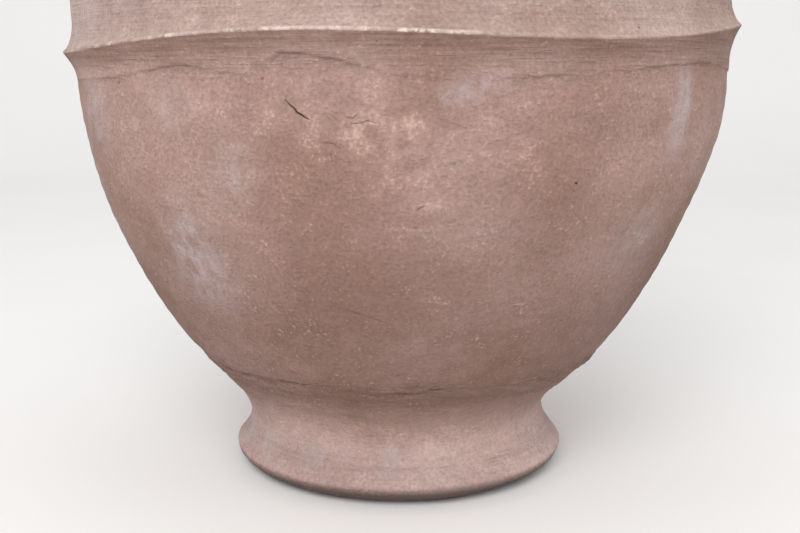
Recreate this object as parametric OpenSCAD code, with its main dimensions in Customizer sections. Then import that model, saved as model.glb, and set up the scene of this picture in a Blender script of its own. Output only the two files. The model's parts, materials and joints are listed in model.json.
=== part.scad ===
// Large two-handled terracotta amphora, built the way a potter builds one:
// sections thrown on the wheel and luted together with scored tongue-and-groove
// seams, clay coils worked over the seams, and pulled strap handles that are
// pegged into the shoulder and the neck. Millimetres, +Z up, the origin on the
// ground under the middle of the foot. Each thrown, rolled or pulled piece of
// clay is one solid, and its neighbours meet it face to face.

/* [Foot] */
// Outer radius of the ring that stands on the ground
contact_r = 140; // [134:1:146]
// Inner radius of the ring that stands on the ground
contact_inner_r = 116; // [108:1:122]
// Radius of the rounded toe
toe_r = 178; // [170:0.5:186]
// Height of the toe's widest point
toe_z = 22; // [18:1:28]
// Radius of the waist between the toe and the bowl
waist_r = 160.5; // [156:0.5:165]
// Height of the waist
waist_z = 57; // [53:1:60]

/* [Body] */
// Radius where the joint's hollow curve turns into the bowl's round one
bowl_start_r = 180; // [176:1:184]
// Height where the joint's hollow curve turns into the bowl's round one
bowl_start_z = 94; // [90:1:98]
// Slope of the outline there, in degrees
bowl_start_slope = 40; // [36:0.5:45]
// Height to which the foot's joint coil is smeared up the bowl
smear_z = 131; // [120:1:140]
// Radius of the bowl's wall at the lower edge of the cordon
bowl_top_r = 330.5; // [320:0.5:336]
// Greatest radius of the wall, without the cordon
equator_r = 333; // [329:0.5:338]
// Height of the wall's greatest radius
equator_z = 505; // [498:1:530]
// Radius of the shoulder where the neck stands on it
shoulder_r = 126; // [122:1:132]
// Height of the shoulder where the neck stands on it
shoulder_z = 748; // [735:1:760]
// Thickness of the thrown wall
wall = 18; // [15:1:20]
// Thickness of the floor at its middle
floor_t = 24; // [18:1:28]

/* [Cordon] */
// Radius of the sharp crest of the belly cordon
crest_r = 343.5; // [340:0.5:350]
// Height of the crest, which covers the seam of the two great sections
crest_z = 449; // [446:1:453]
// Height of the hollow flank under the crest
cove_h = 45; // [40:1:50]
// Height of the hollow flank over the crest
upper_flank_h = 26; // [22:1:32]

/* [Neck and lip] */
// Radius of the straight bore of the neck, which takes a stopper or a lid's skirt
mouth_r = 92; // [86:1:94]
// Outer radius of the neck at its narrowest
neck_r = 108; // [107:0.5:112]
// Height of the top of the neck, under the lip
neck_top_z = 872; // [866:1:885]
// Outer radius of the rolled lip
lip_r = 148; // [140:1:154]
// Height of the lip above the top of the neck
lip_h = 36; // [32:1:42]

/* [Handles] */
// Width of the strap at mid-length
strap_w = 60; // [50:1:66]
// Thickness of the strap at mid-length
strap_t = 24; // [20:1:28]
// How much wider the strap is where it is pressed onto the clay
root_flare = 26; // [10:1:32]
// How much thicker the strap is where it is pressed onto the clay
root_swell = 8; // [0:1:12]
// Depth of the groove that the thumb leaves along the strap
strap_groove = 3; // [0:0.5:5]
// Radius of the pegs that hold the strap's ends
peg_r = 10; // [7:0.5:12]
// Depth of the pegs in the wall
peg_depth = 10; // [7:1:12]

/* [Hidden] */
$fn = 96;

// Fired clay: the dusty wall, the wiped foot and the paler worked coils.
wall_colour = [0.66, 0.52, 0.46];
foot_colour = [0.70, 0.56, 0.51];
coil_colour = [0.72, 0.60, 0.55];

// Handle of the Bezier curve that draws a quarter round, per unit of radius.
quarter = 0.5523;
// Halvings that place a height or a radius on a curve.
halvings = 24;
// Depth and half-width of the V tongue in the middle of a seam.
tongue_depth = 5;
tongue_half_w = 4;
// The bowl's underside on the axis, and where it leaves the level.
underside_z = 60;
underside_flat_r = 90;
// The ring of the underside that the foot's own clay touches.
foot_inner_r = 126;
foot_outer_r = 150;
// Half-height and thickness of the coil pressed over the seam inside the body.
inner_coil_half_h = 26;
inner_coil_t = 7;
// Where the neck's inner face leaves the bore and reaches the shoulder.
neck_bore_low_z = shoulder_z + 6;
neck_inner_r = mouth_r + 8;
neck_inner_z = shoulder_z - 4;
// How far up the neck its lip is rolled from, as a height under the neck's top.
lip_under = 15;
// Height of the coil in the angle of neck and shoulder, and its reach down the shoulder.
neck_coil_h = 18;
neck_coil_reach = 15;

// A point of a cubic Bezier curve at t from 0 to 1.
function bezier_at(p, t) =
    pow(1 - t, 3) * p[0] + 3 * pow(1 - t, 2) * t * p[1]
    + 3 * (1 - t) * t * t * p[2] + pow(t, 3) * p[3];

// The direction of a cubic Bezier curve at t, of length 1.
function bezier_dir(p, t) =
    let (d = pow(1 - t, 2) * (p[1] - p[0]) + 2 * (1 - t) * t * (p[2] - p[1])
        + t * t * (p[3] - p[2]))
    d / norm(d);

// The points of a cubic Bezier curve from t = a to t = b, in n steps, each moved
// a distance inwards to the left of the curve.
function run(p, a, b, n, inwards = 0) =
    [for (i = [0:n])
        let (t = a + (b - a) * i / n, u = bezier_dir(p, t))
        bezier_at(p, t) + inwards * [-u[1], u[0]]];

// The t at which a curve that grows in radius (k = 0) or height (k = 1) reaches v.
function share_at(p, k, v, low = 0, high = 1, tries = halvings) =
    let (mid = (low + high) / 2)
    tries == 0 ? mid :
    bezier_at(p, mid)[k] < v ? share_at(p, k, v, mid, high, tries - 1)
        : share_at(p, k, v, low, mid, tries - 1);

// A run without its last point, which the next run repeats, and a run turned round.
function open(points) = [for (i = [0:len(points) - 2]) points[i]];
function back(points) = [for (i = [len(points) - 1:-1:0]) points[i]];

// The V across a wall's edge from outer to inner face: a tongue up, or a groove down.
function vee(outer, inner, rise) =
    let (mid = (outer + inner) / 2, along = (outer - inner) / norm(outer - inner))
    [mid + tongue_half_w * along, mid + [0, rise], mid - tongue_half_w * along];

// The foot's outline: a quarter round under the toe, then a hollow flare to the waist.
toe_curve = [
    [contact_r, 0],
    [contact_r + quarter * (toe_r - contact_r), 0],
    [toe_r, toe_z * (1 - quarter)],
    [toe_r, toe_z]
];
flare_curve = [[toe_r, toe_z], [toe_r, toe_z + 3], [waist_r, waist_z - 18], [waist_r, waist_z]];

// The joint coil's hollow outline, and the bowl's underside over the recess and the foot.
bowl_start = [bowl_start_r, bowl_start_z];
bowl_start_dir = [cos(bowl_start_slope), sin(bowl_start_slope)];
joint_curve = [[waist_r, waist_z], [waist_r, waist_z + 11], bowl_start - 8 * bowl_start_dir, bowl_start];
underside_curve = [
    [0, underside_z],
    [underside_flat_r, underside_z],
    bowl_start - 50 * bowl_start_dir,
    bowl_start
];
foot_inner_share = share_at(underside_curve, 0, foot_inner_r);
foot_outer_share = share_at(underside_curve, 0, foot_outer_r);
underside_in_recess = run(underside_curve, 0, foot_inner_share, 6);
underside_on_foot = run(underside_curve, foot_inner_share, foot_outer_share, 4);

// The wall: the bowl up to the cordon, the belly behind it, and the shoulder.
bowl_top = [bowl_top_r, crest_z - cove_h];
bowl_top_dir = [cos(89), sin(89)];
equator = [equator_r, equator_z];
shoulder_top = [shoulder_r, shoulder_z];
bowl_curve = [bowl_start, bowl_start + 106 * bowl_start_dir, bowl_top - 82 * bowl_top_dir, bowl_top];
belly_curve = [bowl_top, bowl_top + 30 * bowl_top_dir, equator - [0, 34], equator];
shoulder_curve = [equator, equator + [0, 140], shoulder_top + [96, -50], shoulder_top];

// The bowl's own skin under the smeared coil, which meets the outline at the smear's edge.
smear_share = share_at(bowl_curve, 1, smear_z);
smear_top = bezier_at(bowl_curve, smear_share);
buried_dir = [cos(bowl_start_slope - 2), sin(bowl_start_slope - 2)];
buried_start = bezier_at(underside_curve, foot_outer_share);
buried_curve = [buried_start, buried_start + 20 * buried_dir, smear_top - 30 * buried_dir, smear_top];
bowl_under_coil = run(buried_curve, 0, 1, 6);

// Stations on the wall: the seam under the crest, the cordon's upper edge and the inner coil.
seam_share = share_at(belly_curve, 1, crest_z);
cordon_share = share_at(belly_curve, 1, crest_z + upper_flank_h);
coil_low_share = share_at(belly_curve, 1, crest_z - inner_coil_half_h);
coil_high_share = share_at(belly_curve, 1, crest_z + inner_coil_half_h);
belly_under_crest = run(belly_curve, 0, seam_share, 4);
belly_over_crest = run(belly_curve, seam_share, cordon_share, 3);
belly_to_equator = run(belly_curve, cordon_share, 1, 3);
inner_under_seam = run(belly_curve, coil_low_share, seam_share, 3, wall);
inner_over_seam = run(belly_curve, seam_share, coil_high_share, 3, wall);
seam_outer = belly_over_crest[0];
seam_inner = inner_over_seam[0];
shoulder_steps = 26;
shoulder_inner_end = 0.9;

// The neck's outline and its seams with the shoulder and the lip.
neck_top_outer = [neck_r + 10, neck_top_z];
neck_top_inner = [mouth_r, neck_top_z];
neck_inner = [neck_inner_r, neck_inner_z];
neck_curve = [shoulder_top, [neck_r - 6, shoulder_z + 20], [neck_r - 2, shoulder_z + 62], neck_top_outer];
lip_under_share = share_at(neck_curve, 1, neck_top_z - lip_under);
neck_coil_share = share_at(neck_curve, 1, shoulder_z + neck_coil_h);
shoulder_coil_share = share_at(shoulder_curve, 1, shoulder_z - neck_coil_reach * 0.5);
neck_under_coil = run(neck_curve, 0, neck_coil_share, 4);
neck_clear = run(neck_curve, neck_coil_share, lip_under_share, 10);
neck_under_lip = run(neck_curve, lip_under_share, 1, 3);
shoulder_clear = run(shoulder_curve, 0, shoulder_coil_share, shoulder_steps);
shoulder_under_coil = run(shoulder_curve, shoulder_coil_share, 1, 3);

// The strap's centreline: out of the neck and over, then down onto the shoulder.
strap_top = [238, 812];
strap_rise = [[97, 812], [142, 836], [200, 850], strap_top];
strap_fall = [strap_top, [268, 782], [280, 722], [257, 636]];
strap_rings = 15;
strap_sides = 24;
// The pegs' heights on the vessel, and how far they reach into the strap.
shoulder_peg_z = 668;
neck_peg_z = 818;
shoulder_peg_share = share_at(shoulder_curve, 1, shoulder_peg_z);
neck_peg_share = share_at(neck_curve, 1, neck_peg_z);
peg_in_strap = 6;

// A solid turned round the axis from an outline of [radius, height] points.
module thrown(outline) {
    rotate_extrude() polygon(outline);
}

// The hollow ring foot, open underneath, which stands on a flat ring.
module pedestal_foot() {
    inner_top = underside_on_foot[0];
    recess_curve = [inner_top, inner_top - [0, 26], [contact_inner_r, 30], [contact_inner_r, 0]];
    color(foot_colour)
    thrown(concat(
        open(run(toe_curve, 0, 1, 10)),
        run(flare_curve, 0, 1, 12),
        open(back(underside_on_foot)),
        run(recess_curve, 0, 1, 6)
    ));
}

// The coil that is smeared into the angle between foot and bowl.
module foot_joint_coil() {
    color(coil_colour)
    thrown(concat(
        open(run(joint_curve, 0, 1, 10)),
        open(run(bowl_curve, 0, smear_share, 4)),
        back(bowl_under_coil)
    ));
}

// The lower section: floor and wall up to the grooved edge under the crest.
module lower_bowl() {
    wall_start = run(bowl_curve, 0, 1, 1, wall)[0];
    floor_curve = [
        [0, underside_z + floor_t],
        [80, underside_z + floor_t],
        wall_start - 36 * bowl_start_dir,
        wall_start
    ];
    color(wall_colour)
    thrown(concat(
        open(underside_in_recess),
        open(underside_on_foot),
        open(bowl_under_coil),
        open(run(bowl_curve, smear_share, 1, 20)),
        belly_under_crest,
        vee(seam_outer, seam_inner, -tongue_depth),
        open(back(inner_under_seam)),
        open(back(run(belly_curve, 0, coil_low_share, 2, wall))),
        open(back(run(bowl_curve, 0, 1, 20, wall))),
        back(run(floor_curve, 0, 1, 8))
    ));
}

// The cordon: clay pinched up over the outer seam to a sharp crest, hollow above and below.
module belly_cordon() {
    crest = [crest_r, crest_z];
    top = bezier_at(belly_curve, cordon_share);
    cove_curve = [bowl_top, bowl_top + 24 * bowl_top_dir, crest - [8, 12], crest - [0.4, 1]];
    flank_curve = [crest + [-0.6, 1], crest + [-6, 6], top - [-1, 12], top];
    color(coil_colour)
    thrown(concat(
        run(cove_curve, 0, 1, 12),
        [crest],
        open(run(flank_curve, 0, 1, 8)),
        open(back(belly_over_crest)),
        open(back(belly_under_crest))
    ));
}

// The coil that is pressed over the same seam inside the body.
module inner_seam_coil() {
    low = inner_under_seam[0];
    high = inner_over_seam[len(inner_over_seam) - 1];
    reach = inner_coil_t * 4 / 3;
    bulge_curve = [high, high - [reach, 8], low + [-reach, 8], low];
    color(coil_colour)
    thrown(concat(
        open(inner_under_seam),
        inner_over_seam,
        open(run(bulge_curve, 1 / 8, 1, 7))
    ));
}

// The upper section: barrel and shoulder, with sockets for the handles' lower pegs.
module upper_body() {
    color(wall_colour)
    difference() {
        thrown(concat(
            open(belly_over_crest),
            open(belly_to_equator),
            open(shoulder_clear),
            shoulder_under_coil,
            vee(shoulder_top, neck_inner, -tongue_depth),
            [neck_inner],
            open(back(run(shoulder_curve, 0, shoulder_inner_end, shoulder_steps, wall))),
            open(back(run(belly_curve, coil_high_share, 1, 2, wall))),
            back(inner_over_seam),
            back(vee(seam_outer, seam_inner, -tongue_depth))
        ));
        both_sides() shoulder_peg();
    }
}

// The neck: a straight bore inside, hollow outside, with sockets for the upper pegs.
module neck() {
    color(wall_colour)
    difference() {
        thrown(concat(
            open(neck_under_coil),
            open(neck_clear),
            neck_under_lip,
            vee(neck_top_outer, neck_top_inner, tongue_depth),
            [neck_top_inner, [mouth_r, neck_bore_low_z], neck_inner],
            back(vee(shoulder_top, neck_inner, -tongue_depth))
        ));
        both_sides() neck_peg();
    }
}

// The half-round coil in the angle between shoulder and neck.
module neck_cordon() {
    low = shoulder_under_coil[0];
    high = neck_under_coil[len(neck_under_coil) - 1];
    coil_curve = [low, low + [2, 13], high + [15, 3], high];
    color(coil_colour)
    thrown(concat(
        open(run(coil_curve, 0, 1, 12)),
        open(back(neck_under_coil)),
        open(back(shoulder_under_coil))
    ));
}

// The rolled lip: round outside, and flared inwards down to the bore.
module lip() {
    top_z = neck_top_z + lip_h;
    under = neck_under_lip[0];
    widest = [lip_r, neck_top_z + 13];
    brow = [lip_r - 24, top_z];
    under_curve = [under, under + [15, 3], widest - [0, 18], widest];
    brow_curve = [widest, widest + [0, 15], brow + [11, 0], brow];
    throat_curve = [brow, brow - [16, 0], neck_top_inner + [3, 22], neck_top_inner];
    color(coil_colour)
    thrown(concat(
        open(run(under_curve, 0, 1, 10)),
        open(run(brow_curve, 0, 1, 8)),
        run(throat_curve, 0, 1, 10),
        back(vee(neck_top_outer, neck_top_inner, tongue_depth)),
        open(back(neck_under_lip))
    ));
}

// Shoulder and neck filled to the axis: the straps end on its surface.
module vessel_fill() {
    thrown(concat(
        [[0, equator_z]],
        open(shoulder_clear),
        open(shoulder_under_coil),
        open(neck_under_coil),
        open(neck_clear),
        neck_under_lip,
        [[0, neck_top_z]]
    ));
}

// A round peg square to a curve of the vessel's outside, half in the wall, half in the strap.
module peg_on(curve, share) {
    at = bezier_at(curve, share);
    u = bezier_dir(curve, share);
    translate([at[0], 0, at[1]])
    rotate([0, atan2(u[1], -u[0]), 0])
    translate([0, 0, -peg_depth])
    cylinder(r = peg_r, h = peg_depth + peg_in_strap);
}

module shoulder_peg() {
    peg_on(shoulder_curve, shoulder_peg_share);
}

module neck_peg() {
    peg_on(neck_curve, neck_peg_share);
}

module both_sides() {
    children();
    mirror([1, 0, 0]) children();
}

// One ring of the strap, square to its centreline: a flat oval with a groove on its back.
// press is 1 where the strap is pressed onto the vessel and 0 at mid-length.
function strap_ring(curve, t, press) =
    let (c = bezier_at(curve, t), u = bezier_dir(curve, t), across = [-u[1], u[0]],
        half_w = (strap_w + root_flare * press) / 2,
        half_t = (strap_t + root_swell * press) / 2)
    [for (k = [0:strap_sides - 1])
        let (a = 360 * k / strap_sides,
            w = half_w * sign(cos(a)) * pow(abs(cos(a)), 0.8),
            h = half_t * sin(a) - (sin(a) > 0 ? strap_groove * pow(sin(a), 6) : 0))
        [c[0] + h * across[0], w, c[1] + h * across[1]]];

// The strap as pulled, a tube of rings with both ends still inside the vessel.
module strap() {
    rings = concat(
        [for (i = [0:strap_rings]) strap_ring(strap_rise, i / strap_rings, pow(1 - i / strap_rings, 4))],
        [for (i = [1:strap_rings]) strap_ring(strap_fall, i / strap_rings, pow(i / strap_rings, 4))]
    );
    last = len(rings) - 1;
    n = strap_sides;
    polyhedron(
        points = [for (ring = rings) each ring],
        faces = concat(
            [[for (k = [0:n - 1]) k]],
            [for (i = [0:last - 1], k = [0:n - 1])
                [i * n + k, (i + 1) * n + (k + 1) % n, i * n + (k + 1) % n]],
            [for (i = [0:last - 1], k = [0:n - 1])
                [i * n + k, (i + 1) * n + k, (i + 1) * n + (k + 1) % n]],
            [[for (k = [n - 1:-1:0]) last * n + k]]
        )
    );
}

// A handle: the strap cut to the vessel's surface, and its two pegs.
module handle() {
    color(wall_colour)
    union() {
        difference() {
            strap();
            vessel_fill();
        }
        shoulder_peg();
        neck_peg();
    }
}

module handle_left() {
    mirror([1, 0, 0]) handle();
}

module handle_right() {
    handle();
}

pedestal_foot();
foot_joint_coil();
lower_bowl();
belly_cordon();
inner_seam_coil();
upper_body();
neck();
neck_cordon();
lip();
handle_left();
handle_right();
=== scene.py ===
# %% [markdown]
# # A large terracotta amphora
# The object is a storage jar as high as a table, thrown by hand in sections and fired without a glaze.
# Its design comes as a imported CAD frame, which this script loads, keeps as it is, and dresses: each plain
# CAD piece of clay is replaced by a finely modelled one of the same size and in the same place.
# Lengths in this script are in millimetres until they reach Blender, which works in metres.

# %% Load the frame
import json
import math

import bpy
import numpy as np
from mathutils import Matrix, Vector, noise


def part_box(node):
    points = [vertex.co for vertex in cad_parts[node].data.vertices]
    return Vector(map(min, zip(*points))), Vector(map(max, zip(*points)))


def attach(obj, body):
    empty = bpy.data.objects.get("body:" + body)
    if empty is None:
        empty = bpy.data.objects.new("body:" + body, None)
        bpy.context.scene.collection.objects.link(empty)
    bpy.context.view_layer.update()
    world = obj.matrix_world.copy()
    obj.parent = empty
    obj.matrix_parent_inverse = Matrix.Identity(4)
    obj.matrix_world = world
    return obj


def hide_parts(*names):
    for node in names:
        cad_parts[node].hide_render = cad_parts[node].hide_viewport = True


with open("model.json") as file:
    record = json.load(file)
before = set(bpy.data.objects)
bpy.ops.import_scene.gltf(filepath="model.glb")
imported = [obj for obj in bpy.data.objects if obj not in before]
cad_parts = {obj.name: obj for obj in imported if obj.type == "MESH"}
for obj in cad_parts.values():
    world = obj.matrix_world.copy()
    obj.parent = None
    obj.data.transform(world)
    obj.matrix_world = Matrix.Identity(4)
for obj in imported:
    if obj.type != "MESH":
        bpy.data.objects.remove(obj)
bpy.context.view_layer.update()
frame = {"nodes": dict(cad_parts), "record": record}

MM = 0.001
print("CAD nodes:", sorted(frame["nodes"]))

# %% [markdown]
# ## The camera
# It is made first, so that every later step can be looked at. A 50 mm lens stands about one and three
# quarter widths away from the jar's axis, a little lower than the belly cordon, and looks down by ten
# degrees. The crest of the cordon is therefore seen from just below and the foot from above. A longer lens
# from further off would flatten the jar, and this one shows its roundness as a person near it sees it.

# %% Set up the camera
CAMERA_AT = (1.6, -1194, 420)
CAMERA_LENS = 50
CAMERA_DOWN = 10.05

bpy.ops.object.select_all(action="DESELECT")
bpy.ops.object.camera_add(
    location=[v * MM for v in CAMERA_AT],
    rotation=(math.radians(90 - CAMERA_DOWN), 0, 0),
)
camera = bpy.context.object
camera.name = "studio_camera"
camera.data.lens = CAMERA_LENS
bpy.context.scene.camera = camera
print("camera at", CAMERA_AT, "mm, looking down by", CAMERA_DOWN, "degrees")

# %% [markdown]
# ## The jar's driving sizes
# Most of them are read from the frame: the corners of a node's box give its widest radius and its lowest and
# highest points, and the mouth's mount gives the bore. The few that a box can't show are named here.

# %% Read the sizes from the frame
def box_mm(node):
    """A node's widest radius, lowest and highest point, in millimetres."""
    low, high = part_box(node)
    return max(high.x, high.y) / MM, low.z / MM, high.z / MM


toe_r, _, _ = box_mm("pedestal_foot")
_, waist_z, smear_z = box_mm("foot_joint_coil")
crest_r, bowl_top_z, cordon_top_z = box_mm("belly_cordon")
equator_r, _, shoulder_z = box_mm("upper_body")
shoulder_r, _, _ = box_mm("neck")
lip_r, _, top_z = box_mm("lip")
mouth = next(m for m in frame["record"]["mounts"] if m["name"] == "mouth")
mouth_r = mouth["dims"]["r_mm"]
neck_top_z = mouth["pos_m"][2] / MM + mouth["dims"]["length_mm"] / 2

CONTACT_R = 140       # outer edge of the ring that stands on the ground
CONTACT_INNER_R = 116
TOE_Z = 22            # height at which the toe is widest
WAIST_R = 160.5       # the narrowest place, between foot and bowl
UNDERSIDE_Z = 60      # the bowl's underside, inside the foot
BOWL_START = np.array([180.0, 94.0])     # radius and height at which the bowl leaves the joint coil
BOWL_SLOPE = math.radians(40)
BOWL_TOP_R = 330.5    # wall at the lower edge of the cordon
CREST_Z = 449
EQUATOR_Z = 505
NECK_R = 108
WALL = 18
FLOOR_T = 24
print("radius of toe, crest, equator and mouth:", [round(r, 1) for r in (toe_r, crest_r, equator_r, mouth_r)])
print("height of shoulder and neck:", round(shoulder_z, 1), round(neck_top_z, 1))

# %% [markdown]
# ## The outline
# A thrown pot is a solid of revolution, so its whole form is one line of radius against height. The line is
# drawn as a few Bezier runs. Each run is four points: its start, two handles and its end. The same runs shape
# the meshes below and tell every later step how far out the wall is at a height.

# %% Draw the outline's runs
QUARTER = 0.5523      # handle of a Bezier quarter round
bowl_dir = np.array([math.cos(BOWL_SLOPE), math.sin(BOWL_SLOPE)])
steep = np.array([math.cos(math.radians(89)), math.sin(math.radians(89))])
bowl_top = np.array([BOWL_TOP_R, bowl_top_z])
equator = np.array([equator_r, EQUATOR_Z])
shoulder_top = np.array([shoulder_r, shoulder_z])
neck_top = np.array([NECK_R + 10, neck_top_z])

toe_run = [
    (CONTACT_R, 0), (CONTACT_R + QUARTER * (toe_r - CONTACT_R), 0),
    (toe_r, TOE_Z * (1 - QUARTER)), (toe_r, TOE_Z),
]
flare_run = [(toe_r, TOE_Z), (toe_r, TOE_Z + 3), (WAIST_R, waist_z - 18), (WAIST_R, waist_z)]
joint_run = [(WAIST_R, waist_z), (WAIST_R, waist_z + 11), BOWL_START - 8 * bowl_dir, BOWL_START]
bowl_run = [BOWL_START, BOWL_START + 106 * bowl_dir, bowl_top - 82 * steep, bowl_top]
belly_run = [bowl_top, bowl_top + 30 * steep, equator - [0, 34], equator]
shoulder_run = [equator, equator + [0, 140], shoulder_top + [96, -50], shoulder_top]
neck_run = [shoulder_top, (NECK_R - 6, shoulder_z + 20), (NECK_R - 2, shoulder_z + 62), neck_top]


def along(run, count):
    """Points along a Bezier run, as an array of [radius, height]."""
    t = np.linspace(0, 1, count)[:, None]
    a, b, c, d = [np.array(p, float) for p in run]
    return (1 - t) ** 3 * a + 3 * (1 - t) ** 2 * t * b + 3 * (1 - t) * t * t * c + t ** 3 * d


outer_runs = (joint_run, bowl_run, belly_run, shoulder_run, neck_run)
wall_line = np.concatenate([along(run, 200) for run in outer_runs])


def wall_radius(height):
    """The outer radius of the plain wall at a height, without coils and cordons."""
    return np.interp(height, wall_line[:, 1], wall_line[:, 0])


def cut(run, t0, t1):
    """The stretch of a Bezier run from t0 to t1, as four points of its own."""
    def blossom(*ts):
        points = [np.array(p, float) for p in run]
        for t in ts:
            points = [(1 - t) * a + t * b for a, b in zip(points, points[1:])]
        return points[0]
    return [blossom(t0, t0, t0), blossom(t0, t0, t1), blossom(t0, t1, t1), blossom(t1, t1, t1)]


def share_at_height(run, height):
    """The share of a run that lies under a height."""
    line = along(run, 400)
    return float(np.interp(height, line[:, 1], np.linspace(0, 1, 400)))


def inside(run, distance):
    """A run moved inwards, to the left of its direction, by a wall's thickness."""
    p = [np.array(q, float) for q in run]
    def left(a, b):
        d = (b - a) / np.linalg.norm(b - a)
        return np.array([-d[1], d[0]]) * distance
    start, end = left(p[0], p[1]), left(p[2], p[3])
    shrink = np.linalg.norm(p[3] + end - p[0] - start) / np.linalg.norm(p[3] - p[0])
    new_start, new_end = p[0] + start, p[3] + end
    return [new_start, new_start + (p[1] - p[0]) * shrink, new_end + (p[2] - p[3]) * shrink, new_end]


def backwards(run):
    """The same run drawn from its end to its start."""
    return run[::-1]


print("wall at the cordon's foot:", round(float(wall_radius(bowl_top_z)), 1), "mm")

# %% [markdown]
# ## Throwing on the wheel
# The wheel's work is Blender's Spin: half a section is drawn as a Bezier curve, made a mesh, and spun round
# the vertical axis in small steps. Each run has its own resolution, so that the outside gets rows a few
# millimetres apart, fine enough to sculpt, and the inside only what its curve needs. One eighth of the turn
# is spun and the other seven are spun copies of it, which is much quicker than a full turn. The seams are
# merged, points on the axis close into a pole, and the normals are turned outwards.

# %% A helper that throws a piece
SECTORS = 8
MERGE = 0.02 * MM                   # vertices closer than this are one
CREASE = math.radians(40)           # faces that meet more sharply than this keep a sharp edge


def deselect():
    """Leaves edit mode and selects nothing."""
    if bpy.context.object and bpy.context.object.mode != "OBJECT":
        bpy.ops.object.mode_set(mode="OBJECT")
    bpy.ops.object.select_all(action="DESELECT")


def throw(name, runs, turn_steps):
    """Spins a closed outline of (run, rows) pairs into a mesh."""
    deselect()
    bpy.ops.curve.primitive_bezier_curve_add()
    section = bpy.context.object
    section.name = section.data.name = name
    section.data.splines.clear()
    for run, rows in runs:
        spline = section.data.splines.new("BEZIER")
        spline.bezier_points.add(1)
        spline.resolution_u = rows
        start, handle_out, handle_in, end = [Vector((p[0], 0, p[1])) * MM for p in run]
        for point, place, before, after in (
            (spline.bezier_points[0], start, 2 * start - handle_out, handle_out),
            (spline.bezier_points[1], end, handle_in, 2 * end - handle_in),
        ):
            point.handle_left_type = point.handle_right_type = "FREE"
            point.co, point.handle_left, point.handle_right = place, before, after
    bpy.ops.object.convert(target="MESH")
    piece = bpy.context.object
    bpy.ops.object.mode_set(mode="EDIT")
    bpy.ops.mesh.select_all(action="SELECT")
    bpy.ops.mesh.remove_doubles(threshold=MERGE)
    bpy.ops.mesh.spin(steps=turn_steps // SECTORS, angle=math.tau / SECTORS, center=(0, 0, 0), axis=(0, 0, 1))
    bpy.ops.mesh.select_all(action="SELECT")
    bpy.ops.mesh.spin(steps=SECTORS - 1, dupli=True, angle=math.tau * (SECTORS - 1) / SECTORS,
                      center=(0, 0, 0), axis=(0, 0, 1))
    bpy.ops.mesh.select_all(action="SELECT")
    bpy.ops.mesh.remove_doubles(threshold=MERGE)
    bpy.ops.mesh.normals_make_consistent(inside=False)
    bpy.ops.object.mode_set(mode="OBJECT")
    bpy.ops.object.shade_smooth_by_angle(angle=CREASE)
    print(name, "thrown:", len(piece.data.polygons), "faces")
    return piece


def line(*points):
    """Straight runs through the points, one row each."""
    pairs = [(np.array(a, float), np.array(b, float)) for a, b in zip(points, points[1:])]
    return [([a, a + (b - a) / 3, a + (b - a) * 2 / 3, b], 1) for a, b in pairs]

# %% [markdown]
# ## Sculpting
# Clay that was wet when it was handled has dents, lumps and smears, so after the wheel each piece is
# sculpted. A rule gives the height of the relief in millimetres at each vertex, and the vertex moves by it
# along its normal, as under a sculpting brush. Rules are written in the potter's own coordinates: the
# azimuth round the jar, 0 at the front and growing to the right, and the height above the ground.
#
# The sections are not quite on one axis: the waist sits two millimetres to the left and the belly four to the
# right. The pieces are sculpted true and moved aside at the end, and the azimuth already allows for it.

# %% Helpers that sculpt
LEAN = (  # height, and how far the jar's axis lies to the right of the true one there, in mm
    (0, 0), (35, 0), (60, -2), (95, -2), (130, -0.5), (170, 0.4), (280, 0.4), (300, 1.3), (320, 2.2),
    (340, 3.4), (360, 4.3), (404, 4.4), (430, 3.2), (449, 2.6), (475, 2.2), (600, 1.5), (700, 0),
)
NEAR_AXIS = 1         # radii under this are taken as this, so that nothing is divided by zero


def ramp(value, low, high):
    """0 under low, 1 over high, and a smooth step between them."""
    t = np.clip((value - low) / (high - low), 0, 1)
    return t * t * (3 - 2 * t)


def read_off(value, table):
    """The second column of a table at a value of the first, straight between the rows."""
    return np.interp(value, *zip(*table))


class Skin:
    """A piece's vertices in the potter's coordinates."""

    def __init__(self, piece):
        mesh = piece.data
        count = len(mesh.vertices)
        flat = np.empty(count * 3, dtype=np.float32)
        mesh.vertices.foreach_get("co", flat)
        self.co = flat.reshape(-1, 3).astype(float) / MM
        mesh.vertex_normals.foreach_get("vector", flat)
        self.normal = flat.reshape(-1, 3).astype(float)
        self.radius = np.hypot(self.co[:, 0], self.co[:, 1])
        self.height = self.co[:, 2]
        self.aside = read_off(self.height, LEAN)
        self.azimuth = np.degrees(np.arctan2(self.co[:, 0] + self.aside, -self.co[:, 1]))
        radial = np.maximum(self.radius, NEAR_AXIS)
        self.outwards = (self.normal[:, 0] * self.co[:, 0] + self.normal[:, 1] * self.co[:, 1]) / radial
        self.outside = ramp(self.outwards, -0.1, 0.3)    # 1 on the outer wall and 0 inside
        at_seam = np.abs(self.height - waist_z) < 1      # here two pieces meet, and both rims move level
        self.normal[at_seam, 2] = 0


def write_back(piece, co_mm):
    """Gives a piece's vertices new places, in millimetres."""
    piece.data.vertices.foreach_set("co", (co_mm * MM).ravel())
    piece.data.update()


def emboss(piece, rule):
    """Moves each vertex along its normal by rule(skin), in millimetres."""
    skin = Skin(piece)
    write_back(piece, skin.co + skin.normal * rule(skin)[:, None])


def lumps(skin, size, flat=1.0, seed=0):
    """Smooth random lumps from -1 to 1, a size in mm across and flat times lower than wide."""
    at = skin.co / size
    at[:, 2] *= flat
    at += 17.3 * seed
    return np.array([noise.noise(Vector(p)) for p in at])


def turn_from(azimuth, middle):
    """The turn in degrees from one azimuth to another, between -180 and 180."""
    return (azimuth - middle + 180) % 360 - 180


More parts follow.
